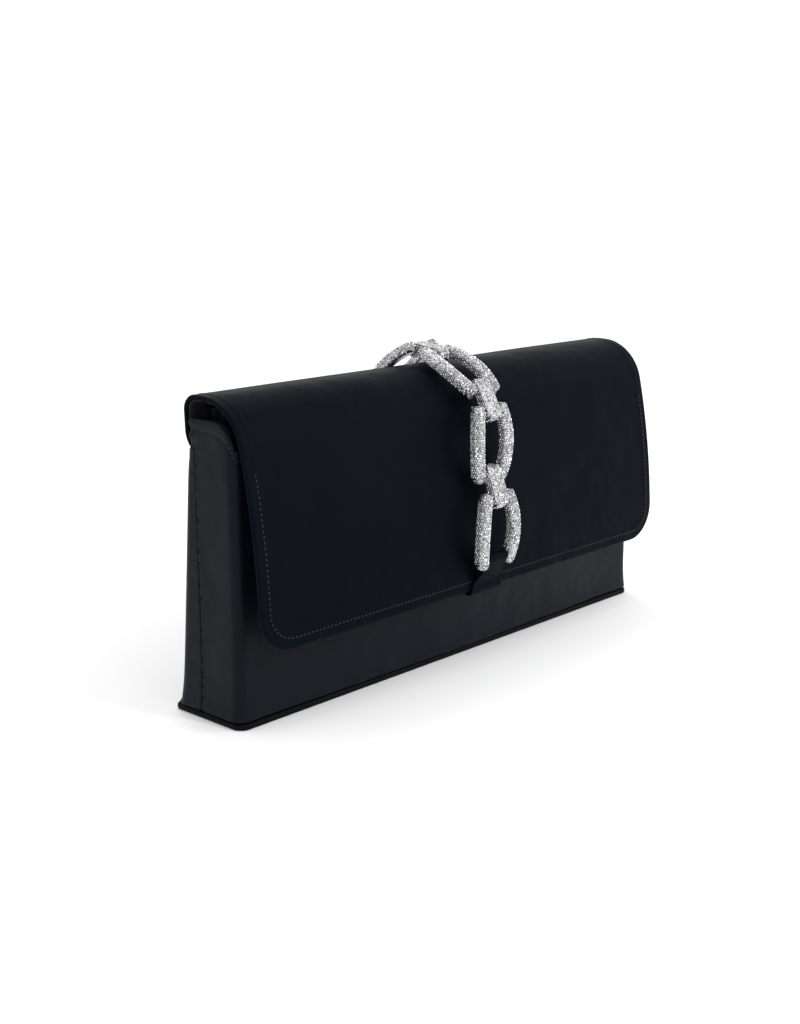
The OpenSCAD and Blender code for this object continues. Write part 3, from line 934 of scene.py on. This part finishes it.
edge_y = drop_y(hem_z)
inside_y = edge_y + 3.65 * mm
front_line = [(inside_y, hem_z + 7 * mm), (inside_y, hem_z + 0.6 * mm),
              (inside_y - 0.9 * mm, hem_z - 1.9 * mm), (edge_y + 0.6 * mm, hem_z - 2.1 * mm),
              (edge_y - 0.9 * mm, hem_z - 0.9 * mm), (edge_y - 1.1 * mm, hem_z + 3.4 * mm)]
front_line += loop_round(front_pin, 2.0 * mm, 207.6, 27.6)
front_line += [(edge_y - 1.2 * mm, hem_z + 6.8 * mm)]


def front_half(y, z):
    rise = min(max((z - hem_z - 0.7 * mm) / (front_pin[1] - hem_z - 4.9 * mm), 0), 1)
    return 9.4 * mm + (tab_half - 9.4 * mm) * rise


ribbon("front_tab_satin", front_line, front_half, "front_tab", 0.16 * mm)
wall_y = heel_y + 0.85 * mm
rear_line = [(wall_y, heel_z + 1.0 * mm), (wall_y + 0.5 * mm, heel_z + 1.5 * mm)]
rear_line += loop_round(rear_pin, 2.25 * mm, -65.4, 114.6)
rear_line += [(wall_y + 0.75 * mm, heel_z + 3.0 * mm), (wall_y + 0.25 * mm, heel_z + 5.4 * mm)]


def rear_half(y, z):
    out = min(max((y - wall_y - 1 * mm) / (rear_pin[0] - wall_y - 6 * mm), 0), 1)
    return 9 * mm + (tab_half - 9 * mm) * out


ribbon("rear_tab_satin", rear_line, rear_half, "rear_tab", 0.16 * mm)

# %% [markdown]
# ## One tree that sets things on seats
# Stones, the grains that hold them and stitches are all small shapes set in rows on a surface.
# A seat is a point with two directions: facing, away from the surface, and along, which way
# the row runs. One Geometry Nodes tree puts a shape on every seat. Its inputs are the shape, its
# size, how freely it spins, a seed and a material.

# %% Seat tree
def seat_tree():
    tree = bpy.data.node_groups.new("set_on_seats", "GeometryNodeTree")
    made = tree.interface
    made.new_socket("Geometry", in_out="OUTPUT", socket_type="NodeSocketGeometry")
    made.new_socket("Geometry", in_out="INPUT", socket_type="NodeSocketGeometry")
    made.new_socket("Shape", in_out="INPUT", socket_type="NodeSocketObject")
    made.new_socket("Size", in_out="INPUT", socket_type="NodeSocketFloat")
    made.new_socket("Spread", in_out="INPUT", socket_type="NodeSocketFloat")
    made.new_socket("Spin", in_out="INPUT", socket_type="NodeSocketFloat")
    made.new_socket("Seed", in_out="INPUT", socket_type="NodeSocketInt")
    made.new_socket("Material", in_out="INPUT", socket_type="NodeSocketMaterial")

    def node(kind, inputs=(), **settings):
        new = tree.nodes.new(kind)
        for key, value in settings.items():
            setattr(new, key, value)
        for key, value in dict(inputs).items():
            if isinstance(value, bpy.types.NodeSocket):
                tree.links.new(value, new.inputs[key])
            else:
                new.inputs[key].default_value = value
        return new

    given = node("NodeGroupInput").outputs
    shape = node("GeometryNodeObjectInfo", {"Object": given["Shape"]}, transform_space="ORIGINAL")
    facing = node("GeometryNodeInputNamedAttribute", {"Name": "facing"}, data_type="FLOAT_VECTOR")
    along = node("GeometryNodeInputNamedAttribute", {"Name": "along"}, data_type="FLOAT_VECTOR")
    stand = node("FunctionNodeAlignRotationToVector", {"Vector": facing.outputs[0]}, axis="Z")
    turned = node("FunctionNodeAlignRotationToVector", {"Rotation": stand.outputs[0],
                  "Vector": along.outputs[0]}, axis="X", pivot_axis="Z")
    loose = node("FunctionNodeRandomValue", {"Seed": given["Seed"]}, data_type="FLOAT")
    angle = node("ShaderNodeMath", {0: loose.outputs[1], 1: given["Spin"]}, operation="MULTIPLY")
    twist = node("ShaderNodeCombineXYZ", {"Z": angle.outputs[0]})
    spun = node("FunctionNodeRotateRotation", {"Rotation": turned.outputs[0],
                "Rotate By": twist.outputs[0]}, rotation_space="LOCAL")
    vary = node("FunctionNodeRandomValue", {"Seed": given["Seed"]}, data_type="FLOAT")
    vary.inputs[2].default_value, vary.inputs[3].default_value = -1.0, 1.0
    share = node("ShaderNodeMath", {0: vary.outputs[1], 1: given["Spread"]}, operation="MULTIPLY")
    scale = node("ShaderNodeMath", {0: share.outputs[0], 1: 1.0}, operation="ADD")
    size = node("ShaderNodeMath", {0: scale.outputs[0], 1: given["Size"]}, operation="MULTIPLY")
    points = node("GeometryNodeMeshToPoints", {"Mesh": given["Geometry"]})
    placed = node("GeometryNodeInstanceOnPoints", {"Points": points.outputs[0],
                  "Instance": shape.outputs["Geometry"], "Rotation": spun.outputs[0],
                  "Scale": size.outputs[0]})
    # Random numbers stored on each stone and each face; the stone material turns them into painted glints,
    # bright and dark facets that stand in for reflections.
    tone = node("FunctionNodeRandomValue", {"Seed": given["Seed"]}, data_type="FLOAT")
    each = node("GeometryNodeStoreNamedAttribute", {"Geometry": placed.outputs[0],
                "Name": "stone_tone", "Value": tone.outputs[1]}, domain="INSTANCE")
    real = node("GeometryNodeRealizeInstances", {"Geometry": each.outputs[0]})
    facet = node("FunctionNodeRandomValue", {"Seed": given["Seed"]}, data_type="FLOAT")
    faces = node("GeometryNodeStoreNamedAttribute", {"Geometry": real.outputs[0],
                 "Name": "facet_tone", "Value": facet.outputs[1]}, domain="FACE")
    painted = node("GeometryNodeSetMaterial", {"Geometry": faces.outputs[0],
                   "Material": given["Material"]})
    node("NodeGroupOutput", {"Geometry": painted.outputs[0]})
    return tree


set_on_seats = seat_tree()


def set_shapes(name, seats, shape, size, material, body, seed, spread=0.0, spin=0.0):
    """Sets a shape on each seat (place, facing, along) and returns one plain mesh piece."""
    mesh = bpy.data.meshes.new(name)
    mesh.from_pydata([tuple(s[0]) for s in seats], [], [])
    for label, part in (("facing", 1), ("along", 2)):
        store = mesh.attributes.new(label, "FLOAT_VECTOR", "POINT")
        store.data.foreach_set("vector", np.array([s[part] for s in seats], float).ravel())
    piece = bpy.data.objects.new(name, mesh)
    bpy.context.collection.objects.link(piece)
    setter = piece.modifiers.new("seats", "NODES")
    setter.node_group = set_on_seats
    values = {"Shape": shape, "Size": size, "Spread": spread, "Spin": spin, "Seed": seed,
              "Material": material}
    for socket in set_on_seats.interface.items_tree:
        if socket.in_out == "INPUT" and socket.name in values:
            setter[socket.identifier] = values[socket.name]
    piece.update_tag()
    bpy.context.view_layer.update()
    graph = bpy.context.evaluated_depsgraph_get()
    result = bpy.data.meshes.new_from_object(piece.evaluated_get(graph), depsgraph=graph)
    piece.modifiers.clear()
    piece.data = result
    bpy.data.meshes.remove(mesh)
    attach(piece, body)
    print(f"{name}: {len(seats)} set, {len(result.polygons)} faces")
    return piece


def pattern_shape(name, points, faces):
    """A small master shape, kept out of the scene."""
    mesh = bpy.data.meshes.new(name)
    mesh.from_pydata(points, [], faces)
    return bpy.data.objects.new(name, mesh)


# %% [markdown]
# ## Master shapes
# The stone is a low brilliant cut: a table, sixteen crown facets and a short girdle. The grain
# is a tiny bead of raised metal. The stitch is a short length of thread whose ends dive into the
# cloth.

# %% Stone, grain and stitch
def turned_rings(rings, count, closed_top=True):
    """Rings of points (radius, height, turn); faces join them from the bottom up."""
    points = [(r * math.cos(2 * math.pi * (i + turn) / count),
               r * math.sin(2 * math.pi * (i + turn) / count), z)
              for r, z, turn in rings for i in range(count)]
    faces = []
    for level in range(len(rings) - 1):
        a, b = level * count, (level + 1) * count
        lag = rings[level][2] != rings[level + 1][2]
        for i in range(count):
            j = (i + 1) % count
            faces += [(a + i, a + j, b + i), (a + j, b + j, b + i)] if lag else [(a + i, a + j, b + j, b + i)]
    faces.append(tuple(range((len(rings) - 1) * count, len(rings) * count)))
    faces.append(tuple(range(count))[::-1])
    return points, faces


stone_shape = pattern_shape("stone_shape", *turned_rings(
    [(0.78, -0.55, 0), (1.0, -0.05, 0), (0.56, 0.42, 0.5)], 8))
grain_shape = pattern_shape("grain_shape", *turned_rings(
    [(0.95, -0.6, 0), (0.9, 0.25, 0), (0.45, 0.8, 0)], 6))


def stitch_parts():
    points = []
    lengths = np.linspace(-1, 1, 7)
    for s in lengths:
        thick = math.sqrt(max(1 - s ** 4, 0.02))
        for i in range(6):
            angle = 2 * math.pi * i / 6
            points.append((s, 0.42 * thick * math.cos(angle), 0.32 * thick * math.sin(angle) - 0.28 * s * s))
    faces = [(r * 6 + i, (r + 1) * 6 + i, (r + 1) * 6 + (i + 1) % 6, r * 6 + (i + 1) % 6)
             for r in range(6) for i in range(6)]
    return points, faces + [tuple(range(6)), tuple(range(36, 42))[::-1]]


stitch_shape = pattern_shape("stitch_shape", *stitch_parts())

# %% [markdown]
# ## Where the stones sit
# Stones stand in staggered rows along each bar and round its lobed ends, and over the front of
# each connector. The rows are laid on a simple form first: a bar is a bent rod, a connector a
# rounded block. Each seat is then dropped onto the casting's own surface, which also gives its
# facing direction.

# %% Chain places
link_pitch, joiner_pitch = 24.6 * mm, 12.9 * mm
pitches = [link_pitch, joiner_pitch] * 3 + [link_pitch]
bends = [math.radians(a) for a in (91, 71, 89, 61, 28, 6, -41)]
pins = [front_pin]
for pitch, bend in zip(pitches, bends):
    pins.append((pins[-1][0] + pitch * math.cos(bend), pins[-1][1] + pitch * math.sin(bend)))
chain = ["link_4", "connector_3", "link_3", "connector_2", "link_2", "connector_1", "link_1"]
stone_gap = 1.06 * mm


def on_chain(step, x, y, z):
    """From a chain piece's own place (across, along, out) to the frame."""
    (ay, az), (by, bz) = pins[step], pins[step + 1]
    c, s = math.cos(bends[step]), math.sin(bends[step])
    return Vector((x, (ay + by) / 2 + y * c - z * s, (az + bz) / 2 + y * s + z * c))


def surface_of(node):
    mesh = frame["nodes"][node].data
    return BVHTree.FromPolygons([v.co for v in mesh.vertices], [p.vertices for p in mesh.polygons])


def drop_on(surface, place, along, seats):
    """Adds the surface point nearest to a place as a seat, unless the surface is more than 4 mm away."""
    hit, normal, _, distance = surface.find_nearest(place)
    if hit is None or distance > 4 * mm:
        return
    seats.append((hit, normal, along))


def thin_out(seats, gap):
    """Keeps seats at least gap apart, in the order they were laid."""
    kept, cells = [], {}
    for seat in seats:
        place = seat[0]
        key = tuple(int(math.floor(c / gap)) for c in place)
        near = [cells.get((key[0] + i, key[1] + j, key[2] + k), []) for i in (-1, 0, 1)
                for j in (-1, 0, 1) for k in (-1, 0, 1)]
        if all((place - other).length > gap for cell in near for other in cell):
            kept.append(seat)
            cells.setdefault(key, []).append(place)
    return kept


# %% Seats on the bars
bar_out, bow_side, bow_out = 7.4 * mm, 2.15 * mm, 1.5 * mm
lobe = link_pitch / 2 + 1.2 * mm


def bar_seats(step, node, side, opening):
    """Rings of seats round a bowed bar, then fans of seats round its two ends."""
    surface = surface_of(node)
    seats = []
    flare = math.radians(3) * opening
    base = bar_out + abs(opening) * lobe * math.sin(math.radians(3))
    rings = int(2 * lobe / stone_gap)
    for ring in range(rings + 1):
        y = -lobe + 2 * lobe * ring / rings
        bowed = 1 - (y / lobe) ** 2
        x = base + bow_side * bowed - y * math.sin(flare)
        heart = on_chain(step, side * x, y, bow_out * bowed)
        ahead = on_chain(step, side * x, y + mm, bow_out * bowed) - heart
        across = Vector((1, 0, 0))
        up = on_chain(step, side * x, y, bow_out * bowed + mm) - heart
        count = 11
        for k in range(count + 1):
            turn = math.radians(-124 + 248 * (k + 0.5 * (ring % 2)) / count)
            if abs(turn) > math.radians(126):
                continue
            place = heart + across * 3.6 * mm * math.sin(turn) + up * 3.4 * math.cos(turn)
            drop_on(surface, place, ahead.normalized(), seats)
    for end in (-1, 1):
        for level in range(4):
            rise = math.radians(8 + 22 * level)
            count = max(3, int(9 * math.cos(rise)))
            for k in range(count):
                swing = math.radians(-84 + 168 * (k + 0.5 * (level % 2)) / max(count - 1, 1))
                y = end * (lobe + 3.2 * mm * math.cos(swing) * math.cos(rise))
                x = base - end * lobe * math.sin(flare) + 3.4 * mm * math.sin(swing) * math.cos(rise)
                drop_on(surface, on_chain(step, side * x, y, 3.6 * mm * math.sin(rise) - 0.8 * mm),
                        Vector((1, 0, 0)), seats)
    return thin_out(seats, 0.93 * mm)


# %% Seats on the connectors
def connector_seats(step, node):
    """Rows over the front and both round ends of a connector, then one row down each side."""
    surface = surface_of(node)
    seats = []
    half, reach = 4.3 * mm, joiner_pitch / 2
    route = [(reach + 5 * mm * math.cos(a), 5 * mm * math.sin(a)) for a in np.linspace(-0.5, math.pi / 2, 10)]
    route += [(reach - t, 5 * mm) for t in np.linspace(0, 2 * reach, 14)[1:-1]]
    route += [(-y, z) for y, z in route[9::-1]]
    for row, (y, z) in enumerate(route):
        for k in range(-4, 5):
            x = (k + 0.5 * (row % 2)) * stone_gap
            if abs(x) < half - 0.35 * mm:
                drop_on(surface, on_chain(step, x, y, z), Vector((1, 0, 0)), seats)
    for side in (-1, 1):
        for level, z in enumerate((2.0 * mm, 1.0 * mm, 0.0)):
            for y in np.arange(-8.4, 8.5, 1.06):
                drop_on(surface, on_chain(step, side * 6 * mm, (y + 0.53 * (level % 2)) * mm, z),
                        Vector((1, 0, 0)), seats)
    return thin_out(seats, 0.93 * mm)


# %% [markdown]
# ## Setting the stones
# Each chain piece gets one mesh of stones and one of grains. Each stone gets two grains beside it,
# 0.6 mm off, and grains closer than 0.45 mm to one another are thinned out.

# %% Stones and grains
def grain_seats(seats):
    places = [s[0] for s in seats]
    found = []
    for i, (place, facing, along) in enumerate(seats):
        near = sorted((other - place).length for other in places if (other - place).length > 1e-6)[:1]
        if not near:
            continue
        side = facing.cross(along)
        if side.length < 1e-6:
            continue
        for turn in (30, 90):
            angle = math.radians(turn)
            step = along.normalized() * math.cos(angle) + side.normalized() * math.sin(angle)
            found.append((place + step * 0.6 * mm + facing * 0.02 * mm, facing, along))
    return thin_out(found, 0.45 * mm)


stone_total = 0
for step, body in enumerate(chain):
    if body.startswith("link"):
        opening = {0: 1, 6: -1}.get(step, 0)
        seats = bar_seats(step, body + "_left", -1, opening) + bar_seats(step, body + "_right", 1, opening)
    else:
        seats = connector_seats(step, body)
    stones = set_shapes(body + "_stones", seats, stone_shape, 0.55 * mm, cut_crystal, body,
                        seed=step + 1, spread=0.06, spin=6.28)
    grains = set_shapes(body + "_grains", grain_seats(seats), grain_shape, 0.15 * mm, bright_plate, body,
                        seed=step + 11, spread=0.15, spin=6.28)
    stone_total += len(seats)
print("stones in all:", stone_total)

# %% [markdown]
# ## Stitches
# Thread runs round the flap, along the mouth hem, up both side seams and along the top of the
# back panel. A run of stitches is a list of seats laid on the cloth's own surface, so each stitch
# lies on the cloth and faces the way the cloth does.

# %% Stitch runs
def stitch_run(line, facing, pitch):
    """Seats along a line of points, at an even pitch."""
    run = np.concatenate([[0], np.cumsum(np.linalg.norm(np.diff(line, axis=0), axis=1))])
    places = np.arange(pitch / 2, run[-1], pitch)
    at = np.stack([np.interp(places, run, line[:, k]) for k in range(3)], 1)
    out = np.stack([np.interp(places, run, facing[:, k]) for k in range(3)], 1)
    ahead = np.gradient(at, axis=0)
    return [(Vector(p), Vector(o).normalized(), Vector(a).normalized()) for p, o, a in zip(at, out, ahead)]


def cloth_face(cloth):
    mesh = cloth.data
    return BVHTree.FromPolygons([v.co for v in mesh.vertices], [p.vertices for p in mesh.polygons])


def laid_on(cloth, line, toward, pitch):
    """Drops a line of points onto a cloth from outside and returns stitch seats on it."""
    surface = cloth_face(cloth)
    hits, facing = [], []
    for place, way in zip(line, toward):
        hit, normal, _, _ = surface.ray_cast(Vector(place) + Vector(way) * 6 * mm, -Vector(way), 12 * mm)
        if hit is not None:
            hits.append(hit)
            facing.append(normal if normal.dot(Vector(way)) > 0 else -normal)
    return stitch_run(np.array(hits), np.array(facing), pitch)


stitch_in, stitch_pitch, stitch_half = 4 * mm, 2.1 * mm, 0.72 * mm


def flap_stitch_line():
    """Down the left edge, along the hem and up the right edge, a stitch width inside."""
    line, way = [], []
    half, low = flap_half - stitch_in, hem_z + stitch_in
    corner = flap_corner - stitch_in
    outline = [(-half, z) for z in np.linspace(crown_z - 26 * mm, low + corner, 60)]
    outline += [(-half + corner - corner * math.cos(a), low + corner - corner * math.sin(a))
                for a in np.linspace(0, math.pi / 2, 14)[1:]]
    outline += [(x, low) for x in np.linspace(-half + corner, 0, 80)[1:]]
    outline += [(-x, z) for x, z in outline[-2::-1]]
    for x, z in outline:
        line.append((x, drop_y(min(z, shoulder[1])), z))
        way.append((0, -1, 0))
    return line, way


runs = {"flap": [], "bag": []}
runs["flap"] += laid_on(flap_satin, *flap_stitch_line(), stitch_pitch)
hem_line = [(x, y, mouth_line(y) - stitch_in) for x, y, ox, oy in plan_path(seam_y - 3 * mm)]
hem_way = [(ox, oy, 0) for x, y, ox, oy in plan_path(seam_y - 3 * mm)]
runs["bag"] += laid_on(front_satin, hem_line, hem_way, stitch_pitch)
for side in (-1, 1):
    line = [(side * wall_x, seam_y - 0.6 * mm, z)
            for z in np.linspace(floor_z + 3 * mm, side_top - 5 * mm, 60)]
    runs["bag"] += laid_on(front_satin, line, [(side, 0, 0)] * 60, stitch_pitch)
back_line = [(x, back_y(back_high[2] - stitch_in), back_high[2] - stitch_in)
             for x in np.linspace(-wall_x + 6 * mm, wall_x - 6 * mm, 120)]
runs["bag"] += laid_on(back_satin, back_line, [(0, 1, 0)] * 120, stitch_pitch)
for body, seats in runs.items():
    threads = set_shapes(body + "_stitches", seats, stitch_shape, stitch_half, thread_black, body, seed=3)

# %% [markdown]
# ## Finishes on the CAD pieces
# The castings, pins, snap, cards and fleece keep their CAD shape, and only take their finish
# here.

# %% Finishes
finishes = {"plated_casting": setting_metal, "pin_steel": bright_plate,
            "snap_steel": nickel, "magnet": ferrite,
            "card": bag_card, "wadding": fleece, "satin": black_satin, "lining_cloth": lining_cloth}
slot_of = {part["node"]: part["material_slot"] for part in frame["record"]["subparts"]}
for name, piece in frame["nodes"].items():
    piece.data.materials.clear()
    piece.data.materials.append(finishes[slot_of[name]])

# %% [markdown]
# ## Floor and light
# A plain white floor, a white room and three soft lamps: one high behind for the crown, a broad
# one in front on the right, and a small bright one for sparkle.

# %% Studio
floor_paint = Paint("pale_floor", Roughness=0.9, Specular_IOR_Level=0.1)
floor_tone = floor_paint.tint(floor_paint.cloudy(2), (0.96, 0.96, 0.96, 1), (0.98, 0.98, 0.98, 1))
floor = add_piece("floor", [(-8, -8, 0), (8, -8, 0), (8, 8, 0), (-8, 8, 0)], [(0, 1, 2, 3)],
                  floor_paint.finish(Base_Color=floor_tone), None)
room = bpy.data.worlds.new("white_room")
room.use_nodes = True
room.node_tree.nodes["Background"].inputs["Color"].default_value = (1, 1, 1, 1)
room.node_tree.nodes["Background"].inputs["Strength"].default_value = 1.06
bpy.context.scene.world = room
bpy.context.scene.view_settings.view_transform = "Standard"


def soft_lamp(name, place, target, width, watts):
    data = bpy.data.lights.new(name, "AREA")
    data.shape, data.size, data.energy = "DISK", width, watts
    lamp = bpy.data.objects.new(name, data)
    bpy.context.collection.objects.link(lamp)
    lamp.location = place
    lamp.rotation_euler = (Vector(target) - Vector(place)).to_track_quat("-Z", "Y").to_euler()


soft_lamp("high_back", (0.2, 0.7, 1.3), (0, 0, 0.1), 0.8, 2.5)
soft_lamp("front_right", (0.9, -1.1, 0.7), (0, 0, 0.06), 0.7, 5)
soft_lamp("sparkle", (0.1, -1.0, 0.9), (0, -0.03, 0.1), 0.12, 4)
